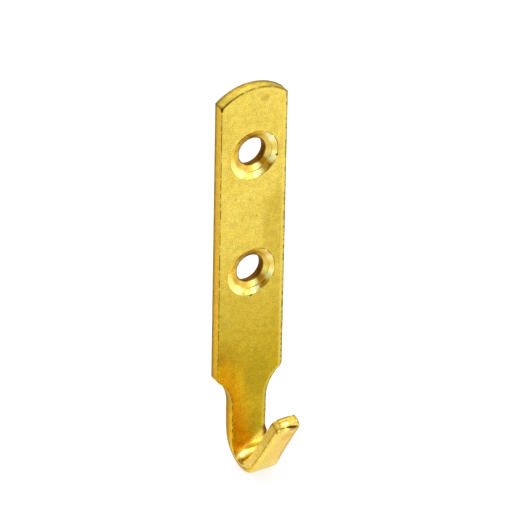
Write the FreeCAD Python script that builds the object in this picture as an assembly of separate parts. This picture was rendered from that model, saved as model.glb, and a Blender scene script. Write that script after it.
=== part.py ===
import FreeCAD, Part
import math
import os

# A two-hole picture hook, stamped and bent from one piece of thick brass strip.
# Two countersunk screws hold it to a wall, and a picture's ring or wire hangs in its bend.
# Millimetres. +Z is up, and -Y points away from the wall.
# The origin is on the back face, midway between the two screw holes.

# The plate, its arched top and its two hollow shoulders
thickness = 2.5
plate_width = 12.7
plate_top = 24.7
top_radius = 9.8
shoulder_radius = 7.2
shoulder_foot = -38.4
shoulder_corner_radius = 1.0
neck_width = 6.7

# The screw holes
hole_spacing = 23.3
bore_diameter = 5.4
countersink_diameter = 9.2
countersink_angle = 118.0

# The bend, which starts gently and then turns tightly under the hook
bend_start = -45.3
entry_radius = 3.9
entry_angle = 20.0
throat_radius = 2.05
tongue_lean = 31.5

# How far the bend's inner edges swell out, and how far the swelling runs past the bend's ends
bulge_width = 0.35
bulge_length = 2.0

# The taper from the neck's width to the tongue's, which starts above the bend and ends past it
taper_lead = 4.4
taper_tail = 7.2

# The tongue and its end, with one corner rounder than the other
tongue_width = 4.2
tongue_length = 14.7
tip_radius = 9.0
round_corner_radius = 1.6
small_corner_radius = 0.5

# The rim of the back and outer face, which the punch draws in, and of the front, which is deburred
edge_radius = 0.35
deburred_radius = 0.18

# Spacing of the sections through the bend, how far a cutter reaches past what it cuts,
# and how close two points are to count as one
section_spacing = 0.7
reach = 2.0
same_place = 0.001

half_plate = plate_width / 2
half_neck = neck_width / 2
half_tongue = tongue_width / 2
half_thickness = thickness / 2
bend_angle = 180.0 - tongue_lean


def vector(x, y, z):
    return FreeCAD.Vector(x, y, z)


def line(start, end):
    return Part.LineSegment(start, end).toShape()


def arc(start, middle, end):
    return Part.Arc(start, middle, end).toShape()


def circle_point(centre, radius, degrees):
    turn = math.radians(degrees)
    return centre + vector(radius * math.cos(turn), 0, radius * math.sin(turn))


def mirrored(point):
    return vector(-point.x, point.y, point.z)


def edge_at(solid, corner):
    # The edge through the strip's thickness whose ends lie at this corner of the outline.
    for edge in solid.Edges:
        middle = edge.CenterOfMass
        if abs(middle.x - corner.x) < same_place and abs(middle.z - corner.z) < same_place:
            return edge
    raise ValueError("the outline has no such corner")


def round_rims(blank, open_end):
    # Rounds the rims of the back and front, but not where the strip goes on past the blank.
    for level, radius in ((0, edge_radius), (-thickness, deburred_radius)):
        rim = []
        for edge in blank.Edges:
            middle = edge.CenterOfMass
            on_face = abs(middle.y - level) < same_place
            if on_face and abs(middle.z - open_end) > same_place:
                rim.append(edge)
        blank = blank.makeFillet(radius, rim)
    return blank


def plate_and_neck():
    # The outline as seen from the front, punched through the strip's thickness.
    top_centre = vector(0, 0, plate_top - top_radius)
    corner_angle = math.degrees(math.acos(half_plate / top_radius))
    top_corner = circle_point(top_centre, top_radius, corner_angle)
    crown = circle_point(top_centre, top_radius, 90)

    hollow = vector(half_neck + shoulder_radius, 0, shoulder_foot)
    sweep = math.degrees(math.acos(1 - (half_plate - half_neck) / shoulder_radius))
    shoulder = circle_point(hollow, shoulder_radius, 180 - sweep)
    middle = circle_point(hollow, shoulder_radius, 180 - sweep / 2)
    foot = vector(half_neck, 0, shoulder_foot)
    end = vector(half_neck, 0, bend_start - reach)

    outline = Part.Wire([
        arc(mirrored(top_corner), crown, top_corner),
        line(top_corner, shoulder),
        arc(shoulder, middle, foot),
        line(foot, end),
        line(end, mirrored(end)),
        line(mirrored(end), mirrored(foot)),
        arc(mirrored(foot), mirrored(middle), mirrored(shoulder)),
        line(mirrored(shoulder), mirrored(top_corner)),
    ])
    blank = Part.Face(outline).extrude(vector(0, -thickness, 0))
    corners = [edge_at(blank, shoulder), edge_at(blank, mirrored(shoulder))]
    blank = blank.makeFillet(shoulder_corner_radius, corners)
    blank = round_rims(blank, end.z)

    taper_start = bend_start + taper_lead
    depth = taper_start - end.z + reach
    below = Part.makeBox(
        plate_width, 3 * thickness, depth, vector(-half_plate, -2 * thickness, taper_start - depth)
    )
    return blank.cut(below)


def tongue():
    # Made flat and hanging down, then turned up about its root.
    tip_centre = vector(0, 0, tip_radius - tongue_length)
    corner_angle = math.degrees(math.acos(half_tongue / tip_radius))
    right = circle_point(tip_centre, tip_radius, -corner_angle)
    lowest = circle_point(tip_centre, tip_radius, -90)
    root = vector(half_tongue, 0, 0)

    outline = Part.Wire([
        line(mirrored(root), root),
        line(root, right),
        arc(right, lowest, mirrored(right)),
        line(mirrored(right), mirrored(root)),
    ])
    blank = Part.Face(outline).extrude(vector(0, -thickness, 0))
    blank = blank.makeFillet(round_corner_radius, [edge_at(blank, mirrored(right))])
    blank = blank.makeFillet(small_corner_radius, [edge_at(blank, right)])
    blank = round_rims(blank, root.z)

    above = Part.makeBox(
        plate_width, 3 * thickness, taper_tail + reach, vector(-half_plate, -2 * thickness, -taper_tail)
    )
    flat = blank.cut(above)
    flat.translate(vector(0, half_thickness, 0))
    flat.rotate(vector(0, 0, 0), vector(1, 0, 0), -bend_angle)
    flat.translate(runs()[-1][-1]["place"] - direction(bend_angle) * taper_tail)
    return flat


def direction(turned):
    # The way along the strip, after the bend has turned it by this angle from straight down.
    turn = math.radians(turned)
    return vector(0, -math.sin(turn), -math.cos(turn))


def outward(turned):
    # The way from the strip's inner face to its outer face, which is the back at the plate.
    turn = math.radians(turned)
    return vector(0, math.cos(turn), -math.sin(turn))


def runs():
    # The strip's middle, from above the bend to the tongue's root, in four runs:
    # straight, gently turning, tightly turning and straight again.
    tight_angle = bend_angle - entry_angle
    gentle_length = math.radians(entry_angle) * (entry_radius + half_thickness)
    tight_length = math.radians(tight_angle) * (throat_radius + half_thickness)
    plan = (
        (0.0, taper_lead),
        (entry_angle, gentle_length),
        (tight_angle, tight_length),
        (0.0, taper_tail),
    )

    station = {"place": vector(0, -half_thickness, bend_start + taper_lead), "turned": 0.0, "along": 0.0}
    found = []
    for whole_turn, length in plan:
        steps = math.ceil(length / section_spacing)
        turn = whole_turn / steps
        arc_step = length / steps
        half_turn = math.radians(turn) / 2
        chord = arc_step if turn == 0 else arc_step * math.sin(half_turn) / half_turn
        run = [station]
        for step in range(steps):
            station = {
                "place": station["place"] + direction(station["turned"] + turn / 2) * chord,
                "turned": station["turned"] + turn,
                "along": station["along"] + arc_step,
            }
            run.append(station)
        found.append(run)
    return found


def half_widths(along, whole_length):
    # Half the strip's width at its inner and at its outer face. The bend squeezes metal out
    # at the inner face's edges.
    share = along / whole_length
    blend = share * share * (3 - 2 * share)
    middle = half_neck + (half_tongue - half_neck) * blend
    swollen_from = taper_lead - bulge_length
    swollen_to = whole_length - taper_tail + bulge_length
    swell = 0.0
    if swollen_from < along < swollen_to:
        place = (along - swollen_from) / (swollen_to - swollen_from)
        swell = bulge_width * math.sin(math.pi * place) ** 2
    return middle + swell, middle


def section(station, whole_length):
    # The strip's section here: wider and deburred at the inner face, drawn in at the outer.
    inner_half, outer_half = half_widths(station["along"], whole_length)
    out = outward(station["turned"])

    def point(across, height):
        return station["place"] + vector(across, 0, 0) + out * height

    def rounded_corner(side, half_width, level, radius):
        # From the flat face round to the wall, for the face at this level.
        up = math.copysign(1, level)
        slant = radius * (1 - math.sin(math.radians(45)))
        flat = point(side * (half_width - radius), level)
        between = point(side * (half_width - slant), level - up * slant)
        wall = point(side * half_width, level - up * radius)
        return flat, between, wall

    in_left = rounded_corner(-1, inner_half, -half_thickness, deburred_radius)
    in_right = rounded_corner(1, inner_half, -half_thickness, deburred_radius)
    out_left = rounded_corner(-1, outer_half, half_thickness, edge_radius)
    out_right = rounded_corner(1, outer_half, half_thickness, edge_radius)
    return Part.Wire([
        line(in_left[0], in_right[0]),
        arc(*in_right),
        line(in_right[2], out_right[2]),
        arc(*reversed(out_right)),
        line(out_right[0], out_left[0]),
        arc(*out_left),
        line(out_left[2], in_left[2]),
        arc(*reversed(in_left)),
    ])


def bend():
    # One piece for each run, so that the straight ones stay straight.
    whole_length = runs()[-1][-1]["along"]
    pieces = []
    for run in runs():
        sections = [section(station, whole_length) for station in run]
        pieces.append(Part.makeLoft(sections, True, False))
    return pieces


def screw_cutter(height):
    # The bore, and the cone that takes the screw's head.
    bore = bore_diameter / 2
    rim = countersink_diameter / 2
    slope = math.tan(math.radians(countersink_angle / 2))
    cone_depth = (rim - bore) / slope
    profile = Part.makePolygon([
        vector(0, reach, height),
        vector(bore, reach, height),
        vector(bore, cone_depth - thickness, height),
        vector(rim + reach * slope, -thickness - reach, height),
        vector(0, -thickness - reach, height),
        vector(0, reach, height),
    ])
    return Part.Face(profile).revolve(vector(0, 0, height), vector(0, 1, 0), 360)


def picture_hook():
    hook = plate_and_neck().fuse(bend() + [tongue()])
    for height in (hole_spacing / 2, -hole_spacing / 2):
        hook = hook.cut(screw_cutter(height))
    return hook.removeSplitter()


os.makedirs("parts", exist_ok=True)
hook = picture_hook()
hook.exportStep("parts/picture_hook.step")
print("solids", len(hook.Solids), "faces", len(hook.Faces), "valid", hook.isValid())
print("volume in cubic millimetres", round(hook.Volume, 2))
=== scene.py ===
import math
import bmesh
import bpy
from mathutils import Matrix, Vector, noise


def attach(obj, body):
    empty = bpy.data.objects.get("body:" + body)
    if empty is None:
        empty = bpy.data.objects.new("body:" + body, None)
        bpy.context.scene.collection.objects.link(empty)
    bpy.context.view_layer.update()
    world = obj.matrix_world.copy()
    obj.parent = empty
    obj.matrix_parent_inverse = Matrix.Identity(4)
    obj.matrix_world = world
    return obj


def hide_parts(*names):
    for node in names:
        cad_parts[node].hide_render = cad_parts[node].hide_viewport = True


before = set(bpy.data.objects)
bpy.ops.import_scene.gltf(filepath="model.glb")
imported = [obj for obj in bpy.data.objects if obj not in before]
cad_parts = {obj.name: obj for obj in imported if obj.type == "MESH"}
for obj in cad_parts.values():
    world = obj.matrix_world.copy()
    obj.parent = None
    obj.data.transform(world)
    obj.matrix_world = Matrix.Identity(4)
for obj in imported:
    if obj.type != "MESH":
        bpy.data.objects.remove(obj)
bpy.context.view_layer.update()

# The camera, at the photograph's angle: from the left of the plate and above it, with a long lens.
# Its place and lens come from fitting the hook's edges and holes to the photograph.
camera_azimuth = math.radians(-30.751)
camera_elevation = math.radians(33.287)
camera_roll = math.radians(1.172)
camera_distance = 0.9149
image_width = 520
pixels_per_metre = 5947
aim_right = 0.002423
aim_up = -0.009046
aim_height = 0.000116

away = Vector((
    math.sin(camera_azimuth) * math.cos(camera_elevation),
    -math.cos(camera_azimuth) * math.cos(camera_elevation),
    math.sin(camera_elevation),
))
level = Vector((math.cos(camera_azimuth), math.sin(camera_azimuth), 0))
upright = away.cross(level)
picture_right = math.cos(camera_roll) * level + math.sin(camera_roll) * upright
picture_up = math.cos(camera_roll) * upright - math.sin(camera_roll) * level
eye = away * camera_distance + picture_right * aim_right + picture_up * aim_up
eye.z += aim_height
long_lens = bpy.data.cameras.new("long_lens")
long_lens.sensor_width = 36
long_lens.lens = pixels_per_metre * camera_distance * long_lens.sensor_width / image_width
camera = bpy.data.objects.new("camera", long_lens)
camera.matrix_world = (
    Matrix.Translation(eye) @ Matrix((picture_right, picture_up, away)).transposed().to_4x4()
)
bpy.context.scene.collection.objects.link(camera)
bpy.context.scene.camera = camera
bpy.context.scene.view_settings.view_transform = "Standard"

# The hook starts as a flat blank of brass strip 2.5 mm thick, in millimetres, punched from the
# back. The punch rolls the back edges in, shears a smooth band, and tears the rest up to the front.
thickness = 2.5
half_plate = 6.35
plate_top = 24.7
top_radius = 9.8
top_centre = plate_top - top_radius
half_neck = 3.35
hollow_radius = 7.2
hollow_foot = -38.4
shoulder_radius = 1.0
half_tongue = 2.1
bend_start = -45.3
taper_lead = 4.4
taper_tail = 7.2
gentle_radius = 3.9
gentle_angle = math.radians(20)
tight_radius = 2.05
whole_angle = math.radians(148.5)
gentle_length = gentle_angle * (gentle_radius + thickness / 2)
tight_length = (whole_angle - gentle_angle) * (tight_radius + thickness / 2)
tongue_root = bend_start - gentle_length - tight_length
tongue_length = 14.7
taper_start = bend_start + taper_lead
taper_end = tongue_root - taper_tail
tip_radius = 9.0
tip_centre = tongue_root - tongue_length + tip_radius
tip_corner_radii = {-1: 1.6, 1: 0.5}


def half_width(height):
    shoulder_x = half_plate - shoulder_radius
    hollow_x = half_neck + hollow_radius
    reach = hollow_radius + shoulder_radius
    shoulder_z = hollow_foot + math.sqrt(reach ** 2 - (hollow_x - shoulder_x) ** 2)
    hollow_top = hollow_foot + (shoulder_z - hollow_foot) * hollow_radius / reach
    if height >= shoulder_z:
        return half_plate
    if height >= hollow_top:
        return shoulder_x + math.sqrt(shoulder_radius ** 2 - (shoulder_z - height) ** 2)
    if height >= hollow_foot:
        return hollow_x - math.sqrt(hollow_radius ** 2 - (height - hollow_foot) ** 2)
    share = min(1.0, max(0.0, (taper_start - height) / (taper_start - taper_end)))
    blend = share * share * (3 - 2 * share)
    return half_neck + (half_tongue - half_neck) * blend


def steps(start, end, count):
    return [start + (end - start) * step / count for step in range(count)]


# The grid of the blank's faces, which is closer round the screw holes, the shoulders and the bend.
hole_heights = (11.65, -11.65)
patch_half_height = 5.65
above_shoulder = -31.0
near_edges = (0.87, 0.94, 1)
column_shares = (
    [-share for share in reversed(near_edges)]
    + steps(-near_edges[0], near_edges[0], 20)[1:]
    + list(near_edges)
)
side_top = top_centre + math.sqrt(top_radius ** 2 - half_plate ** 2)
side_tip = tip_centre - math.sqrt(tip_radius ** 2 - half_tongue ** 2)
upper_patch = (hole_heights[0] + patch_half_height, hole_heights[0] - patch_half_height)
lower_patch = (hole_heights[1] + patch_half_height, hole_heights[1] - patch_half_height)
row_runs = (
    (side_top, upper_patch[0], 14),
    (upper_patch[0], upper_patch[1], 28),
    (upper_patch[1], lower_patch[0], 26),
    (lower_patch[0], lower_patch[1], 28),
    (lower_patch[1], above_shoulder, 28),
    (above_shoulder, hollow_foot, 36),
    (hollow_foot, bend_start, 24),
    (bend_start, tongue_root, 56),
    (tongue_root, side_tip, 60),
)
row_heights = [height for run in row_runs for height in steps(*run)] + [side_tip]
columns = len(column_shares) - 1
rows = len(row_heights) - 1


def round_tip_corner(x, z):
    side = 1 if x > 0 else -1
    radius = tip_corner_radii[side]
    middle_x = side * (half_tongue - radius)
    middle_z = tip_centre - math.sqrt((tip_radius - radius) ** 2 - middle_x ** 2)
    touch = middle_x * tip_radius / (tip_radius - radius)
    if z > middle_z or side * x < side * touch:
        return Vector((x, z))
    out = Vector((x - middle_x, z - middle_z)).normalized() * radius
    return Vector((middle_x + out.x, middle_z + out.y))


outline = []
for share in column_shares:
    x = share * half_plate
    outline.append(Vector((x, top_centre + math.sqrt(top_radius ** 2 - x ** 2))))
for height in row_heights[1:]:
    outline.append(round_tip_corner(half_width(height), height))
for share in reversed(column_shares[:-1]):
    x = share * half_tongue
    outline.append(round_tip_corner(x, tip_centre - math.sqrt(tip_radius ** 2 - x ** 2)))
for height in reversed(row_heights[1:-1]):
    outline.append(round_tip_corner(-half_width(height), height))


def inward(index):
    # The mitred direction from a point of the outline into the metal.
    here = outline[index]
    before = (here - outline[index - 1]).normalized()
    after = (outline[(index + 1) % len(outline)] - here).normalized()
    first = Vector((before.y, -before.x))
    second = Vector((after.y, -after.x))
    return (first + second) / (1 + first.dot(second))


inward_ways = [inward(index) for index in range(len(outline))]


def place_on_outline(column, row):
    if row == 0:
        return column
    if column == columns:
        return columns + row
    if row == rows:
        return columns + rows + (columns - column)
    return 2 * (columns + rows) - row


def rim_point(column, row, inset):
    index = place_on_outline(column, row)
    return outline[index] + inward_ways[index] * inset


tip_pull = 3.5


def face_point(column, row, inset):
    # A point of the front or back, where the rows curve to meet the arched top and tip.
    across = (column_shares[column] + 1) / 2
    left = rim_point(0, row, inset)
    right = rim_point(columns, row, inset)
    point = left.lerp(right, across)
    top_reach = upper_patch[0]
    if row_heights[row] > top_reach:
        pull = (row_heights[row] - top_reach) / (side_top - top_reach)
        chord = rim_point(0, 0, inset).lerp(rim_point(columns, 0, inset), across)
        point = point + (rim_point(column, 0, inset) - chord) * pull
    tip_reach = side_tip + tip_pull
    if row_heights[row] < tip_reach:
        pull = (tip_reach - row_heights[row]) / (tip_reach - side_tip)
        chord = rim_point(0, rows, inset).lerp(rim_point(columns, rows, inset), across)
        point = point + (rim_point(column, rows, inset) - chord) * pull
    return point


# The wall's rings from the front to the back, each with its inset and its depth: the deburred
# front rim, the torn part, the smooth band and the rolled back rim.
front_radius = 0.18
back_radius = 0.35
tear_depth = 1.68
torn_roughness = 0.02
torn_pitch = (0.9, 0.7, 3)
torn_rings = range(4, 9)
wall_rings = []
for degrees in (0, 30, 60, 90):
    turn = math.radians(degrees)
    wall_rings.append((front_radius * (1 - math.sin(turn)), front_radius * (1 - math.cos(turn))))
wall_rings += [(0.03, 0.45), (0.035, 0.8), (0.035, 1.15), (0.03, 1.5), (0.05, tear_depth)]
wall_rings += [(0.0, 1.76), (0.0, 1.96)]
for degrees in (0, 22.5, 45, 67.5, 90):
    turn = math.radians(degrees)
    roll_depth = thickness - back_radius * (1 - math.sin(turn))
    wall_rings.append((back_radius * (1 - math.cos(turn)), roll_depth))
rings = len(wall_rings) - 1

# The marks keep each point's place on the flat blank, which the brass's colours follow.
blank = bmesh.new()
depth_mark = blank.verts.layers.float.new("depth")
inside_mark = blank.verts.layers.float.new("inside")
along_mark = blank.verts.layers.float.new("along")
across_mark = blank.verts.layers.float.new("across")
hole_across_mark = blank.verts.layers.float.new("hole_across")
hole_up_mark = blank.verts.layers.float.new("hole_up")
mirror_mark = blank.verts.layers.float.new("mirror")
bmesh.ops.create_grid(blank, x_segments=columns, y_segments=rows, size=0.5)
raised = bmesh.ops.extrude_face_region(blank, geom=blank.faces[:])["geom"]
bmesh.ops.translate(
    blank, verts=[part for part in raised if isinstance(part, bmesh.types.BMVert)], vec=(0, 0, 1)
)
upright_edges = [
    edge for edge in blank.edges if abs(edge.verts[0].co.z - edge.verts[1].co.z) > 0.5
]
bmesh.ops.subdivide_edges(blank, edges=upright_edges, cuts=rings - 1, use_grid_fill=True)

grid_places = {}
for vert in blank.verts:
    column = round((vert.co.x + 0.5) * columns)
    row = round((0.5 - vert.co.y) * rows)
    ring = round(vert.co.z * rings)
    grid_places[vert] = (column, row, ring)
hole_patches = []
for top, bottom in (upper_patch, lower_patch):
    first = min(range(rows), key=lambda row: abs(row_heights[row] - top))
    last = min(range(rows), key=lambda row: abs(row_heights[row] - bottom))
    hole_patches.append((first, last))
first_column = 2
last_column = columns - 2
patch_faces = {}
for face in blank.faces:
    spots = [grid_places[vert] for vert in face.verts]
    in_columns = all(first_column <= column <= last_column for column, row, ring in spots)
    for hole, (first, last) in enumerate(hole_patches):
        in_rows = all(first <= row <= last for column, row, ring in spots)
        for ring in (0, rings):
            if in_rows and in_columns and all(spot[2] == ring for spot in spots):
                patch_faces.setdefault((hole, ring), []).append(face)

for vert, (column, row, ring) in grid_places.items():
    inset, depth = wall_rings[ring]
    if ring in (0, rings):
        point = face_point(column, row, inset)
    else:
        if ring in torn_rings:
            torn_place = (column * torn_pitch[0], row * torn_pitch[1], depth * torn_pitch[2])
            inset += torn_roughness * noise.noise(Vector(torn_place))
        point = rim_point(column, row, inset)
    vert.co = (point.x, depth - thickness, point.y)

# The two screw holes, punched from the front and then countersunk. The punch breaks out wider at
# the back. The countersink isn't quite on the hole's axis, and leaves turned rings and a fine lip.
# Each ring of the profile has its radius and its depth below the front.
countersink_radius = 4.6
bore_radius = 2.5
cone_slope = math.tan(math.radians(59))
cone_depth = (countersink_radius - bore_radius) / cone_slope
lip_height = 0.03
turned_height = 0.008
turned_pitch = 2.4
step_radius = 3.62
step_height = 0.035
chatter_height = 0.03
chatter_waves = 6
chatter_start = 2.2
rim_drift = (0.0, -0.15)
rim_shrink = (0.0, 0.033)
bore_drift = 0.3
hole_profile = [(4.85, 0.0), (4.72, 0.0), (4.66, -lip_height), (countersink_radius, 0.0)]
cone_rings = 26
for ring in range(1, cone_rings):
    radius = countersink_radius - (countersink_radius - bore_radius) * ring / cone_rings
    ripple = turned_height * math.sin(ring * turned_pitch)
    ripple += step_height if radius < step_radius else 0.0
    hole_profile.append((radius, (countersink_radius - radius) / cone_slope + ripple))
hole_profile += [(bore_radius + 0.04, cone_depth + 0.02), (bore_radius, cone_depth + 0.08)]
hole_profile += [(2.53, 1.6), (2.62, 2.1), (2.68, 2.42), (2.76, thickness)]


def ring_middle(hole, depth):
    # How far to the right the hole's middle lies, at this depth below the front.
    if depth < cone_depth:
        return rim_drift[hole] + (bore_drift - rim_drift[hole]) * depth / cone_depth
    return bore_drift * (thickness - depth) / (thickness - cone_depth)


for hole, hole_height in enumerate(hole_heights):
    open_edges = {}
    for ring in (0, rings):
        faces = patch_faces[(hole, ring)]
        all_edges = {edge for face in faces for edge in face.edges}
        inner = {edge for edge in all_edges if all(face in faces for face in edge.link_faces)}
        open_edges[ring] = list(all_edges - inner)
        bmesh.ops.delete(blank, geom=faces, context="FACES")
    edges = open_edges[0]
    last_middle = 0.0
    for radius, depth in hole_profile:
        grown = bmesh.ops.extrude_edge_only(blank, edges=edges)["geom"]
        edges = [part for part in grown if isinstance(part, bmesh.types.BMEdge)]
        edges = [edge for edge in edges if len(edge.link_faces) < 2]
        opened = 0.0
        if depth < cone_depth:
            opened = (radius - bore_radius) / (countersink_radius - bore_radius)
        for vert in {vert for edge in edges for vert in edge.verts}:
            out = Vector((vert.co.x - last_middle, vert.co.z - hole_height)).normalized()
            angle = math.atan2(out.y, out.x)
            out *= radius * (1 - rim_shrink[hole] * opened)
            chatter = chatter_height * math.sin(chatter_waves * angle + chatter_start + hole)
            chatter *= math.sin(math.pi * min(1.0, opened))
            sideways = out.x + ring_middle(hole, depth)
            vert.co = (sideways, depth + chatter - thickness, hole_height + out.y)
        last_middle = ring_middle(hole, depth)
    bmesh.ops.bridge_loops(blank, edges=edges + open_edges[rings])

# The bend, made round a former in a press. The inner face swells and its edges fall away, the
# outer face draws in, the right edge is pinched, and a burr is left at the right of the tip.
bulge_width = 0.35
bulge_length = 2.0
swollen_top = bend_start + bulge_length
swollen_end = tongue_root - bulge_length
draw_in = 0.3
sunk_middle = -50.6
sunk_reach = 3.4
sunk_edge = {-1: 0.62, 1: 0.4}
sunk_from = 0.4
pinch = 0.44
pinch_height = -45.6
pinch_reach = 0.9
burr = 0.42
burr_start = 1.0
burr_depth = 2.3
burr_height = side_tip + 1.5
burr_rise = 1.3


def bend_place(height):
    # The middle of the strip and how far it has turned, at this height of the flat blank.
    if height >= bend_start:
        return Vector((0, -thickness / 2, height)), 0.0
    gentle = min(bend_start - height, gentle_length)
    tight = min(max(0.0, bend_start - height - gentle_length), tight_length)
    straight = max(0.0, bend_start - height - gentle_length - tight_length)
    place = Vector((0, -thickness / 2, bend_start))
    turned = 0.0
    for length, radius in ((gentle, gentle_radius), (tight, tight_radius)):
        middle_radius = radius + thickness / 2
        next_turned = turned + length / middle_radius
        place.y += middle_radius * (math.cos(next_turned) - math.cos(turned))
        place.z -= middle_radius * (math.sin(next_turned) - math.sin(turned))
        turned = next_turned
    place += Vector((0, -math.sin(turned), -math.cos(turned))) * straight
    return place, turned


def smooth(value, low, high):
    share = min(1.0, max(0.0, (value - low) / (high - low)))
    return share * share * (3 - 2 * share)


def from_outline(x, height):
    # How far a point of a face lies inside the outline.
    inside = half_width(height) - abs(x)
    if height > side_top - 3:
        inside = min(inside, top_radius - math.hypot(x, height - top_centre))
    if height < side_tip + 2:
        inside = min(inside, tip_radius - math.hypot(x, height - tip_centre))
    return max(0.0, inside)


for vert in blank.verts:
    x, y, height = vert.co
    depth = y + thickness
    vert[depth_mark] = depth
    vert[along_mark] = height
    vert[across_mark] = x
    vert[inside_mark] = from_outline(x, height)
    vert[hole_across_mark] = x - ring_middle(0 if height > 0 else 1, depth)
    vert[hole_up_mark] = abs(height) - hole_heights[0]
    vert[mirror_mark] = 1.0 if height > 0 else -1.0

    side = -1 if x < 0 else 1
    half = half_width(height)
    inner_share = 1 - depth / thickness
    outwards = abs(x) / half
    if swollen_end < height < swollen_top:
        share = (swollen_top - height) / (swollen_top - swollen_end)
        swell = bulge_width * inner_share - draw_in * (1 - inner_share)
        swell *= math.sin(math.pi * share) ** 2
        if side > 0:
            swell += pinch * inner_share * math.exp(-(((height - pinch_height) / pinch_reach) ** 2))
        x *= 1 + swell / half
    sunk = smooth(sunk_reach - abs(height - sunk_middle), 0, sunk_reach)
    edge_share = max(0.0, (outwards - sunk_from) / (1 - sunk_from)) ** 2
    y += sunk_edge[side] * sunk * inner_share * edge_share
    if x > burr_start and height < burr_height and depth < burr_depth:
        swelling = math.sin(math.pi * depth / burr_depth) ** 0.6
        swelling *= smooth(x, burr_start, half_tongue)
        x += burr * swelling * smooth(burr_height - height, 0, burr_rise)
    middle, turned = bend_place(height)
    outward = Vector((0, math.cos(turned), -math.sin(turned)))
    vert.co = middle + outward * (y + thickness / 2) + Vector((x, 0, 0))

same_place = 0.0005
millimetre = 0.001
bmesh.ops.remove_doubles(blank, verts=blank.verts[:], dist=same_place)
bmesh.ops.recalc_face_normals(blank, faces=blank.faces[:])
bmesh.ops.scale(blank, verts=blank.verts[:], vec=(millimetre, millimetre, millimetre))
for face in blank.faces:
    face.smooth = True
hook_mesh = bpy.data.meshes.new("brass_hook")
blank.to_mesh(hook_mesh)
blank.free()
hook = bpy.data.objects.new("brass_hook", hook_mesh)
bpy.context.scene.collection.objects.link(hook)
weighting = hook.modifiers.new("even_shading", "WEIGHTED_NORMAL")
weighting.keep_sharp = True

# The hook's brass: solid metal with a fine grain, not lacquered, with soil clouds on its top wall,
# and painted shade and painted highlights along its edges, in its bend and in its holes. Lengths
# are in millimetres of the flat blank.
brass = bpy.data.materials.new("brass")
brass.use_nodes = True
tree = brass.node_tree
shader = tree.nodes["Principled BSDF"]
place = tree.nodes.new("ShaderNodeTexCoord").outputs["Object"]


def from_display(red, green, blue):
    # A colour as it looks on the screen, turned into the linear colour that the shader takes.
    linear = [
        value / 255 / 12.92 if value < 11 else ((value / 255 + 0.055) / 1.055) ** 2.4
        for value in (red, green, blue)
    ]
    return (*linear, 1)


def feed(socket, value):
    if isinstance(value, bpy.types.NodeSocket):
        tree.links.new(value, socket)
    else:
        socket.default_value = value


def mark(name):
    reader = tree.nodes.new("ShaderNodeAttribute")
    reader.attribute_name = name
    return reader.outputs["Fac"]


def ranged(value, low, high, start=0.0, end=1.0):
    mapper = tree.nodes.new("ShaderNodeMapRange")
    mapper.interpolation_type = "SMOOTHSTEP"
    feed(mapper.inputs["Value"], value)
    mapper.inputs["From Min"].default_value = low
    mapper.inputs["From Max"].default_value = high
    mapper.inputs["To Min"].default_value = start
    mapper.inputs["To Max"].default_value = end
    return mapper.outputs["Result"]


def mottle(per_metre, detail):
    texture = tree.nodes.new("ShaderNodeTexNoise")
    texture.inputs["Scale"].default_value = per_metre
    texture.inputs["Detail"].default_value = detail
    tree.links.new(place, texture.inputs["Vector"])
    return texture.outputs["Fac"]


def combine(operation, first, second=0.0):
    maths = tree.nodes.new("ShaderNodeMath")
    maths.operation = operation
    feed(maths.inputs[0], first)
    feed(maths.inputs[1], second)
    return maths.outputs["Value"]


def blend(share, first, second, way="MIX"):
    mixer = tree.nodes.new("ShaderNodeMix")
    mixer.data_type = "RGBA"
    mixer.blend_type = way
    feed(mixer.inputs["Factor"], share)
    feed(mixer.inputs[6], first)
    feed(mixer.inputs[7], second)
    return mixer.outputs[2]


def tint(below, share, shown):
    # Lays a colour, as it looks on the screen, over the colour below.
    return blend(share, below, from_display(*shown))


def times(first, *others):
    for other in others:
        first = combine("MULTIPLY", first, other)
    return first


def opposite(value):
    return combine("SUBTRACT", 1.0, value)


def around(value, middle, spread):
    # One at this value, falling to nothing on both sides of it.
    off = combine("ABSOLUTE", combine("SUBTRACT", value, middle))
    return ranged(off, spread, spread * 0.4)


depth = mark("depth")
inside = mark("inside")
along = mark("along")
across = mark("across")
hole_across = mark("hole_across")
hole_up = mark("hole_up")
hole_distance = combine(
    "SQRT", combine("ADD", times(hole_across, hole_across), times(hole_up, hole_up))
)
up = times(hole_up, mark("mirror"))
on_front = opposite(ranged(depth, 0.1, 0.3))


def oval(across_middle, along_middle, across_reach, along_reach):
    # A soft oval, right through the strip.
    sideways = times(combine("SUBTRACT", across, across_middle), 1 / across_reach)
    lengthways = times(combine("SUBTRACT", along, along_middle), 1 / along_reach)
    square = combine("ADD", times(sideways, sideways), times(lengthways, lengthways))
    return ranged(square, 1.0, 0.1)


def patched(below, patches):
    # Soft ovals on the front: middle across and along, reach across and along, share and colour.
    for across_middle, along_middle, across_reach, along_reach, share, shown in patches:
        spot = times(oval(across_middle, along_middle, across_reach, along_reach), on_front)
        below = tint(below, times(spot, share), shown)
    return below


# Where each part of the surface lies: the punched wall, the outer face, the plate and neck,
# the part below the shoulders, the tongue, its end, and the two sides.
wall = times(ranged(depth, 0.14, 0.26), opposite(ranged(depth, 2.3, 2.45)))
outer = times(ranged(depth, 2.3, 2.45), ranged(inside, 0.2, 0.42))
plate_and_neck = ranged(along, -47.0, -44.0)
below_shoulder = ranged(along, -35.5, -38.5)
tongue_part = ranged(along, -50.0, -56.0)
above_tongue = opposite(tongue_part)
tip_end = times(ranged(along, -68.6, -69.0), opposite(ranged(inside, 0.1, 0.5)))
left_side = ranged(across, 0.4, -0.4)
right_side = opposite(left_side)
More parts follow.
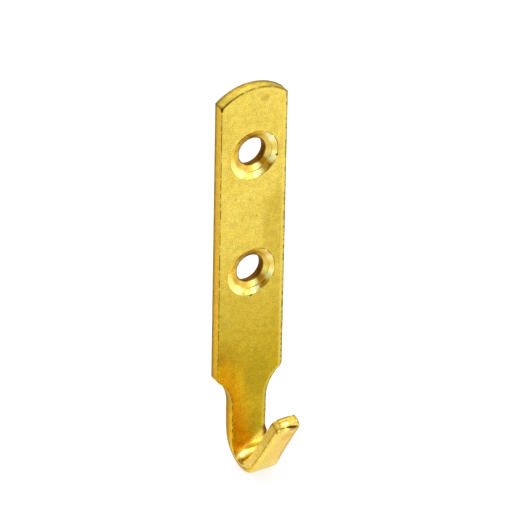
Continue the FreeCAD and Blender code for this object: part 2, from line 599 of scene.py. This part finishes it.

# The front: lemon at the top and olive towards the bottom, which is painted shade, and warmer
# at the neck's left, which is a painted amber reflection.
lemon = (240, 214, 96)
olive = (192, 162, 34)
amber = (232, 183, 30)
warm = times(ranged(across, 1.2, -2.0), ranged(along, -27.0, -36.0))
lit = combine("SUBTRACT", along, times(across, 0.8))
colour = tint(from_display(*lemon), ranged(along, 3.0, -34.0), olive)
colour = tint(colour, times(warm, 0.85), amber)
# A painted amber reflection at the shoulder's left, and a painted highlight across the bend.
colour = patched(colour, [(-5.2, -31.5, 2.2, 4.0, 0.7, (238, 194, 32))])
colour = tint(colour, ranged(lit, -46.0, -47.8), (250, 226, 108))
colour = tint(colour, ranged(along, -50.5, -53.0), (240, 204, 84))

# In the bend, painted light: the painted shade above it, painted highlights at the left and at
# the right, painted shade in the gap between them, and painted amber, reddish and olive
# reflections round them.
colour = patched(colour, (
    (-1.0, -46.2, 2.6, 2.4, 0.65, (192, 128, 12)),
    (-1.7, -50.0, 1.5, 1.3, 0.8, (255, 250, 190)),
    (1.6, -47.0, 1.3, 1.4, 0.6, (242, 208, 84)),
    (0.5, -48.3, 2.4, 0.85, 0.92, (188, 142, 12)),
    (-3.0, -50.4, 1.0, 1.6, 0.8, (214, 172, 40)),
    (-1.9, -47.3, 1.3, 1.3, 0.5, (206, 116, 30)),
    (-2.5, -48.7, 1.5, 1.0, 0.75, (210, 150, 20)),
    (-1.3, -52.0, 2.2, 1.3, 0.85, (176, 164, 20)),
))

# Faint clouds all over, a few larger places on the plate and neck, and small dark and pale specks.
colour = tint(colour, times(ranged(mottle(330, 3), 0.35, 0.65), 0.16), amber)
colour = tint(colour, times(ranged(mottle(190, 2), 0.45, 0.65), 0.15), olive)
colour = patched(colour, (
    (4.4, -3.5, 3.6, 9.0, 0.55, (204, 172, 52)),
    (1.9, 22.4, 1.2, 0.8, 0.4, (176, 140, 40)),
    (-1.7, -34.1, 1.4, 2.4, 0.5, (236, 190, 40)),
    (0.9, -33.5, 3.4, 5.0, 0.5, (172, 150, 34)),
    (1.2, -43.0, 1.6, 3.4, 0.4, (170, 138, 22)),
))
dark_specks = ((-3.4, 3.8), (-0.6, 3.0), (0.7, -0.5), (4.3, -19.2))
pale_specks = ((0.2, -26.1), (0.2, -26.8), (0.2, -27.6))
colour = patched(colour, [(*speck, 0.2, 0.2, 0.6, (132, 96, 20)) for speck in dark_specks])
colour = patched(colour, [(*speck, 0.2, 0.2, 0.5, (250, 226, 110)) for speck in pale_specks])

# The punched wall: golden on the plate, darker near the shoulder, and paler on the tongue,
# where the smooth band is brighter than the torn part.
near_shoulder = times(ranged(along, -26.0, -32.0), left_side, 0.6)
in_hollow = times(ranged(along, -35.0, -36.5), ranged(along, -41.0, -39.5), left_side, 0.6)
smooth_band = times(ranged(depth, 1.74, 1.8), tongue_part)
wall_colour = tint(from_display(226, 184, 62), ranged(along, 10.0, -34.0), (226, 176, 44))
wall_colour = tint(wall_colour, near_shoulder, (200, 152, 38))
wall_colour = tint(wall_colour, ranged(along, -36.0, -40.0), (240, 186, 30))
wall_colour = tint(wall_colour, in_hollow, (210, 150, 36))
wall_colour = tint(wall_colour, ranged(along, -45.0, -51.0), (248, 214, 108))
wall_colour = tint(wall_colour, ranged(along, -54.0, -66.0), (218, 184, 80))
wall_colour = tint(wall_colour, smooth_band, (254, 219, 88))

# The wall of the arched top is soiled in clouds.
top_soil = times(ranged(mottle(600, 3), 0.45, 0.62), 0.4)
top_colour = tint(from_display(204, 180, 76), top_soil, (150, 118, 34))
wall_colour = blend(ranged(along, 21.6, 22.6), wall_colour, top_colour)

# The tip's end: a line along it, and a painted glint of light on it.
tip_line = times(around(depth, 0.75, 0.15), ranged(across, -1.6, -1.2))
tip_line = times(tip_line, ranged(across, 1.4, 0.9), 0.5)
glint_across = times(combine("ADD", across, 0.2), 1.3)
glint_depth = combine("SUBTRACT", depth, 1.25)
glint = combine("ADD", times(glint_across, glint_across), times(glint_depth, glint_depth, 6.0))
tip_colour = tint(from_display(222, 194, 84), ranged(depth, 0.9, 1.3), (230, 206, 106))
tip_colour = tint(tip_colour, tip_line, (150, 118, 30))
tip_colour = tint(tip_colour, times(ranged(glint, 1.0, 0.1), 0.6), (255, 252, 206))
wall_colour = blend(tip_end, wall_colour, tip_colour)
colour = blend(wall, colour, wall_colour)

# The outer face, whose tones are painted reflection: yellow at the left and peach at the right,
# with a grey band of painted shade by the right edge.
right_edge_shade = times(ranged(inside, 1.1, 0.3), right_side, ranged(along, -54.0, -60.0), 0.75)
outer_colour = tint(from_display(252, 222, 106), ranged(across, -2.0, 0.4), (250, 214, 126))
outer_colour = tint(outer_colour, ranged(along, -58.5, -54.5), (255, 234, 140))
outer_colour = tint(outer_colour, times(oval(0.3, -66.2, 1.4, 1.9), 0.6), (226, 180, 92))
outer_colour = tint(outer_colour, right_edge_shade, (184, 162, 104))
outer_colour = tint(outer_colour, ranged(along, -53.0, -49.0), (252, 214, 104))
colour = blend(outer, colour, outer_colour)
tip_corner = times(around(along, -68.05, 0.34), left_side, wall)
colour = tint(colour, times(tip_corner, 0.7), (172, 122, 28))

# The grain of the brass, fine and coarse, which is fainter on the tongue's outer face.
fine_grain = ranged(mottle(4400, 3), 0.3, 0.7, 0.75, 1.18)
coarse_grain = ranged(mottle(900, 3), 0.3, 0.7, 0.92, 1.08)
grain = tree.nodes.new("ShaderNodeCombineColor")
for channel in ("Red", "Green", "Blue"):
    tree.links.new(times(fine_grain, coarse_grain), grain.inputs[channel])
grain_share = opposite(times(outer, tongue_part, 0.6))
colour = blend(grain_share, colour, grain.outputs["Color"], "MULTIPLY")

# The wall's lines: a dark line at the tear on the tongue, and a band of painted shade along the
# back rim, with a warm painted lead-in, which is wider below the shoulders. The tongue's back rim
# has painted shade at the right and a painted highlight at the left.
tear_line = times(around(depth, tear_depth, 0.2), ranged(mottle(1100, 2), 0.28, 0.5), tongue_part)
tear_line = times(tear_line, opposite(times(tip_end, 0.6)), 0.6)
colour = tint(colour, tear_line, (142, 106, 14))
band_start = combine("SUBTRACT", 1.72, times(below_shoulder, 0.52))
past_band = combine("SUBTRACT", depth, band_start)
on_wall = opposite(ranged(inside, 0.3, 0.5))
# The back rim's painted shade: a warm lead-in, then darker clouds.
warm_band = times(ranged(past_band, -0.7, 0.1), on_wall, plate_and_neck, 0.4)
colour = tint(colour, warm_band, (176, 128, 40))
back_rim_shade = times(ranged(past_band, -0.1, 0.2), on_wall, ranged(along, -54.0, -51.0))
back_rim_shade = times(back_rim_shade, ranged(mottle(700, 3), 0.3, 0.7, 0.6, 0.95))
back_rim_shade = times(back_rim_shade, opposite(times(below_shoulder, 0.3)))
back_rim_shade_colour = tint(from_display(122, 102, 48), below_shoulder, (142, 122, 58))
colour = blend(back_rim_shade, colour, back_rim_shade_colour)
roll = times(ranged(depth, 2.1, 2.3), on_wall)
colour = tint(colour, times(roll, tongue_part, right_side, 0.5), (150, 130, 80))
colour = tint(colour, times(roll, tongue_part, left_side, 0.6), (255, 244, 150))

# The front rim's dark lines, painted shade along its rounded edge: broken at the left, even along
# the top and the tip, and at the right a soft line with a pale strip inside it and dark dashes over
# both.
left_line = times(opposite(ranged(depth, 0.1, 0.18)), opposite(ranged(inside, 0.08, 0.17)))
left_line = times(left_line, left_side, ranged(mottle(1500, 3), 0.4, 0.54, 0.2, 1.0))
left_line = times(left_line, above_tongue, ranged(along, -48.0, -44.5, 0.12, 1.0))
colour = tint(colour, times(left_line, 0.85), (96, 66, 14))
top_rim = times(opposite(ranged(depth, 0.2, 0.34)), opposite(ranged(inside, 0.18, 0.3)))
top_rim = times(top_rim, ranged(along, 21.5, 22.6), ranged(mottle(900, 3), 0.3, 0.5, 0.5, 1.0))
colour = tint(colour, times(top_rim, 0.75), (112, 86, 20))
tip_rim = times(opposite(ranged(depth, 0.22, 0.42)), opposite(ranged(inside, 0.1, 0.25)))
tip_rim = times(tip_rim, ranged(along, -66.2, -67.2), ranged(across, 1.5, 0.7))
colour = tint(colour, times(tip_rim, 0.8), (104, 84, 28))
right_rim = times(opposite(ranged(depth, 0.16, 0.34)), right_side, above_tongue)
right_rim = times(right_rim, ranged(along, 22.8, 21.8))
right_line = times(right_rim, opposite(ranged(inside, 0.18, 0.36)))
colour = tint(colour, times(right_line, 0.7), (134, 112, 26))
pale_strip = times(around(inside, 0.55, 0.4), right_side, plate_and_neck)
pale_strip = times(pale_strip, opposite(ranged(depth, 0.05, 0.2)))
pale_share = combine("ADD", 0.45, times(ranged(along, -32.0, -37.0), -0.2))
colour = tint(colour, times(pale_strip, pale_share), (250, 222, 112))
dashes = times(right_rim, opposite(ranged(inside, 0.28, 0.5)), ranged(mottle(1300, 2), 0.48, 0.56))
colour = tint(colour, times(dashes, 0.65), (84, 68, 16))

# The holes: freshly cut brass, whose facets catch the light in painted highlights and painted
# shade, with turned rings, a painted dark reflection at the lower right, a dark line at the lip and
# a bore in painted shade.
wander = times(combine("SUBTRACT", mottle(1100, 3), 0.5), 0.05)
in_cone = times(opposite(ranged(hole_distance, 4.52, 4.62)), opposite(ranged(depth, 1.29, 1.35)))
whole_cone = 1.0
outer_cone = ranged(hole_distance, 3.3, 3.7)
inner_cone = opposite(outer_cone)
upper_hole = ranged(mark("mirror"), -1.0, 1.0)
lower_hole = opposite(upper_hole)


def sector(degrees, spread):
    # One at this angle round a hole, counted from the right, and nothing beyond the spread.
    turn = math.radians(degrees)
    facing = combine("ADD", times(hole_across, math.cos(turn)), times(up, math.sin(turn)))
    facing = combine("ADD", combine("DIVIDE", facing, hole_distance), wander)
    inner = math.cos(math.radians(spread * 0.35))
    return ranged(facing, math.cos(math.radians(spread)), inner)


def faceted(below, facets):
    # Facets of the cone, painted highlights and shade: angle, spread, where on the cone, share
    # and colour.
    for degrees, spread, part_of_cone, share, shown in facets:
        below = tint(below, times(sector(degrees, spread), part_of_cone, share), shown)
    return below


cone_colour = tint(from_display(236, 204, 96), outer_cone, (252, 226, 116))
# Painted highlights and painted shade on the facets round the cone.
cone_colour = faceted(cone_colour, (
    (150, 36, whole_cone, 0.9, (255, 230, 110)),
    (216, 46, outer_cone, 1.0, (255, 244, 142)),
    (262, 16, outer_cone, 0.6, (216, 184, 84)),
    (37, 22, outer_cone, ranged(upper_hole, 0.0, 1.0, 0.5, 1.0), (255, 252, 190)),
    (339, 17, outer_cone, 1.0, (255, 250, 166)),
    (285, 16, outer_cone, 1.0, (255, 248, 158)),
    (5, 10, whole_cone, 0.3, (206, 168, 50)),
    (291, 18, inner_cone, 1.0, (255, 246, 152)),
    (338, 16, inner_cone, 0.8, (252, 228, 112)),
    (232, 52, inner_cone, 0.8, (200, 160, 64)),
    (98, 40, whole_cone, 0.8, (224, 180, 52)),
    (94, 20, inner_cone, 0.7, (176, 120, 34)),
))
turned_rings = ranged(combine("SINE", times(hole_distance, 21.0)), 0.2, 1.0)
cone_colour = tint(cone_colour, times(turned_rings, 0.25), (190, 150, 50))
step_line = times(around(hole_distance, step_radius, 0.13), 0.6)
step_line = times(step_line, combine("MAXIMUM", sector(286, 34), times(sector(350, 30), 0.7)))
cone_colour = tint(cone_colour, step_line, (130, 94, 20))
# The painted dark reflection at each cone's lower right: brown facets and cloudy brown near the
# rim.
cone_colour = faceted(cone_colour, (
    (311, 16, whole_cone, 0.85, (222, 164, 22)),
    (312, 16, inner_cone, 0.6, (168, 106, 6)),
))
lower_right_dark_reflection = combine("ADD", times(sector(314, 12), upper_hole), times(sector(307, 12), lower_hole))
lower_right_dark_reflection = times(lower_right_dark_reflection, around(hole_distance, 4.1, 0.5), ranged(mottle(1500, 3), 0.36, 0.58, 0.3, 1.0))
cone_colour = tint(cone_colour, times(lower_right_dark_reflection, 0.95), (126, 66, 0))
colour = blend(in_cone, colour, cone_colour)
lip_line = around(hole_distance, countersink_radius, 0.13)
lip_line = times(lip_line, ranged(mottle(800, 2), 0.36, 0.54))
lip_line = times(lip_line, ranged(hole_across, -2.0, 2.0, 0.25, 0.7))
lip_line = times(lip_line, opposite(ranged(depth, 0.3, 0.5)))
colour = tint(colour, lip_line, (130, 100, 30))
# A painted shadow at the bore's front edge, and the bore in painted shade.
bore_edge_shadow = times(around(hole_distance, 2.54, 0.2), ranged(depth, 1.0, 1.2))
colour = tint(colour, times(bore_edge_shadow, 0.85), (92, 54, 10))
shaded_bore = times(opposite(ranged(hole_distance, 2.76, 2.8)), ranged(depth, 1.29, 1.38))
colour = tint(colour, shaded_bore, (100, 58, 6))
nicks = ((-0.1, -16.3), (4.45, 10.45))
colour = patched(colour, [(*nick, 0.34, 0.26, 0.9, (76, 48, 10)) for nick in nicks])

# The tip's seam, where the sheared end was folded over by the press, thick at the right and
# fine at the left, and the painted shade of the inner corner beside it.
off_seam = combine("SUBTRACT", depth, combine("ADD", 2.03, times(across, 0.14)))
off_seam = combine("ABSOLUTE", off_seam)
from_thickest = times(combine("SUBTRACT", across, 0.55), 0.95)
thick_seam = combine("ADD", off_seam, times(from_thickest, from_thickest, 0.22))
thick_seam = ranged(thick_seam, 0.36, 0.2)
fine_seam = times(ranged(across, -0.5, -0.8), ranged(across, -2.0, -1.7), 0.75)
fine_seam = times(fine_seam, ranged(off_seam, 0.19, 0.07))
seam = times(tip_end, combine("MAXIMUM", thick_seam, fine_seam))
colour = tint(colour, times(seam, 0.95), (84, 38, 4))
inner_corner_shade = times(ranged(across, 1.5, 1.8), ranged(along, -68.3, -68.6))
inner_corner_shade = times(inner_corner_shade, opposite(ranged(depth, 0.25, 0.5)))
colour = tint(colour, times(inner_corner_shade, 0.85), (84, 74, 40))

# The red-brown painted shade where the bend pinches the right edge, a notch and a crease at the
# plate's top left corner, and the low spot of painted shade at the bottom of the bend.
pinched_edge_shade = times(around(along, -45.4, 1.6), opposite(ranged(inside, 0.45, 1.05)), right_side)
pinched_edge_shade = times(pinched_edge_shade, opposite(ranged(depth, 0.5, 1.2)))
colour = tint(colour, times(pinched_edge_shade, 0.9), (116, 52, 6))
notch = times(ranged(along, 21.6, 22.0), ranged(along, 22.9, 22.5), ranged(across, -6.0, -6.2))
notch = times(notch, opposite(ranged(depth, 0.3, 0.6)))
colour = tint(colour, times(notch, 0.9), (70, 46, 12))
crease = times(ranged(across, -6.1, -6.25), around(along, 22.35, 0.3), wall)
colour = tint(colour, times(crease, 0.5), (130, 90, 30))
low_bend_shade = times(around(along, -51.4, 1.3), ranged(across, -1.9, -2.3))
low_bend_shade = times(low_bend_shade, opposite(ranged(depth, 0.6, 0.9)))
colour = tint(colour, times(low_bend_shade, 0.8), (146, 98, 0))

# The finish: smoother in the countersinks, and rougher on the wall and in the bend.
in_bend = times(ranged(along, -46.0, -47.5), ranged(along, -54.0, -52.5))
roughness = combine("ADD", ranged(mottle(1400, 2), 0.3, 0.7, 0.26, 0.38), times(wall, 0.14))
roughness = combine("SUBTRACT", roughness, times(in_cone, 0.13))
roughness = combine("ADD", roughness, times(in_bend, on_front, 0.07))
bump = tree.nodes.new("ShaderNodeBump")
bump.inputs["Strength"].default_value = 0.22
bump.inputs["Distance"].default_value = 0.00006
tree.links.new(mottle(1900, 4), bump.inputs["Height"])
tree.links.new(bump.outputs["Normal"], shader.inputs["Normal"])
tree.links.new(colour, shader.inputs["Base Color"])
tree.links.new(roughness, shader.inputs["Roughness"])
shader.inputs["Metallic"].default_value = 1
shader.inputs["Specular Tint"].default_value = (1, 0.9, 0.6, 1)
hook_mesh.materials.append(brass)
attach(hook, "root")
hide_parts("picture_hook")

# The table: a sheet of white paper, which goes on out of the picture. The camera and the metal
# see it white, and it keeps the hook's soft shadow.
paper_half_size = 3
paper_height = -0.0506
paper_grey = 0.27
paper_mesh = bpy.data.meshes.new("paper")
sheet = bmesh.new()
bmesh.ops.create_grid(sheet, x_segments=1, y_segments=1, size=paper_half_size)
bmesh.ops.translate(sheet, verts=sheet.verts[:], vec=(0, 0, paper_height))
sheet.to_mesh(paper_mesh)
sheet.free()
paper = bpy.data.objects.new("paper", paper_mesh)
bpy.context.scene.collection.objects.link(paper)
white = bpy.data.materials.new("white_paper")
white.use_nodes = True
tree = white.node_tree
shader = tree.nodes["Principled BSDF"]
shader.inputs["Base Color"].default_value = (paper_grey, paper_grey, paper_grey, 1)
shader.inputs["Roughness"].default_value = 1
shader.inputs["Specular IOR Level"].default_value = 0
shader.inputs["Emission Color"].default_value = (1, 1, 1, 1)
rays = tree.nodes.new("ShaderNodeLightPath")
to_camera = times(rays.outputs["Is Camera Ray"], 0.76)
to_metal = times(rays.outputs["Is Glossy Ray"], 0.7)
tree.links.new(combine("MAXIMUM", to_camera, to_metal), shader.inputs["Emission Strength"])
paper_mesh.materials.append(white)

# The studio: an even pale room, which the camera sees white, and five large soft lamps, each
# with the way to it from the hook, its width and height, and its brightness.
studio = bpy.data.worlds.new("studio")
bpy.context.scene.world = studio
studio.use_nodes = True
tree = studio.node_tree
room = tree.nodes["Background"]
room.inputs["Color"].default_value = (1, 1, 1, 1)
rays = tree.nodes.new("ShaderNodeLightPath")
tree.links.new(combine("MAXIMUM", rays.outputs["Is Camera Ray"], 0.55), room.inputs["Strength"])
lamps = (
    ("lamp_right", (0.9, -0.4, -0.03), 0.45, 0.45, 1.9),
    ("lamp_front", (0.43, -0.86, 0.28), 0.4, 0.6, 2.0),
    ("lamp_overhead", (0.15, 0.03, 0.98), 1.05, 0.85, 1.9),
    ("lamp_behind", (0.05, 0.83, 0.5), 1.4, 0.6, 1.15),
    ("lamp_left", (-0.84, 0.05, 0.53), 0.5, 0.5, 1.5),
)
lamp_distance = 0.8
for name, way, width, height, brightness in lamps:
    softbox = bpy.data.lights.new(name, "AREA")
    softbox.shape = "RECTANGLE"
    softbox.size = width
    softbox.size_y = height
    softbox.energy = brightness * math.pi * width * height
    lamp = bpy.data.objects.new(name, softbox)
    lamp.location = Vector(way).normalized() * lamp_distance
    lamp.rotation_mode = "QUATERNION"
    lamp.rotation_quaternion = Vector(way).to_track_quat("Z", "Y")
    bpy.context.scene.collection.objects.link(lamp)
